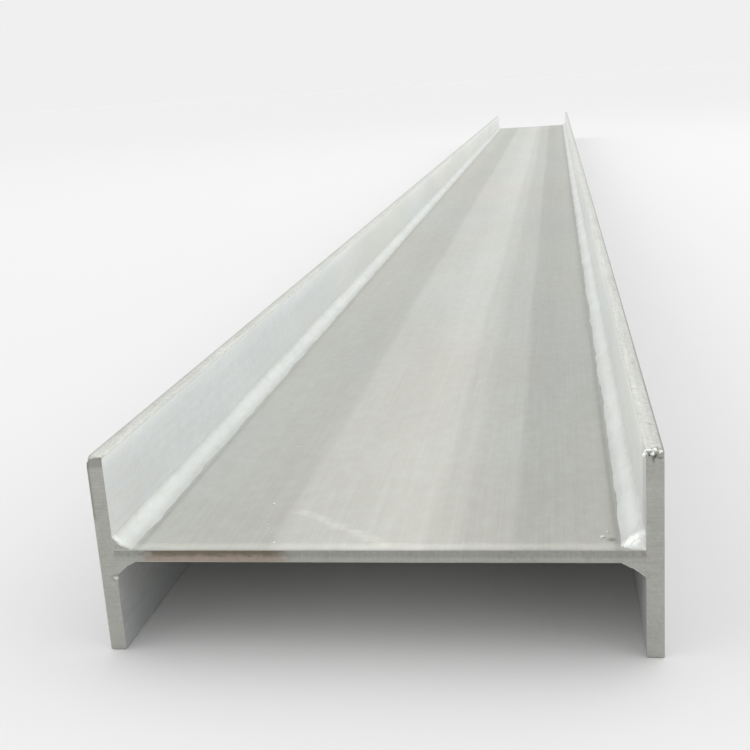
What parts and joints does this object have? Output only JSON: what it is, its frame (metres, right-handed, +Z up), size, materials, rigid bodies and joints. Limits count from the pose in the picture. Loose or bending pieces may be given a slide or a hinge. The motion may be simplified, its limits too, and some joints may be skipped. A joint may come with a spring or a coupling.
{
  "type": "welded stainless steel i-beam",
  "caption": "Straight length of welded stainless steel I-beam, a level web between two upright flanges, with continuous fillet welds and square-cut ends.",
  "frame": {"origin": "on the ground under the middle of the beam, which stands on its flange edges", "axes": "+Y along the beam, +X across the depth from the left flange to the right, +Z up across the flange width"},
  "size_m": [0.4, 6, 0.15],
  "materials": {
    "plate": "hot-rolled, annealed and pickled stainless plate, matt light grey",
    "weld": "pickled stainless weld metal, brighter and smoother than the plate"
  },
  "bodies": {
    "root": {"web_plate": "plate", "left_flange_plate": "plate", "right_flange_plate": "plate", "upper_left_fillet_weld": "weld", "upper_right_fillet_weld": "weld", "lower_left_fillet_weld": "weld", "lower_right_fillet_weld": "weld"}
  },
  "joints": []
}
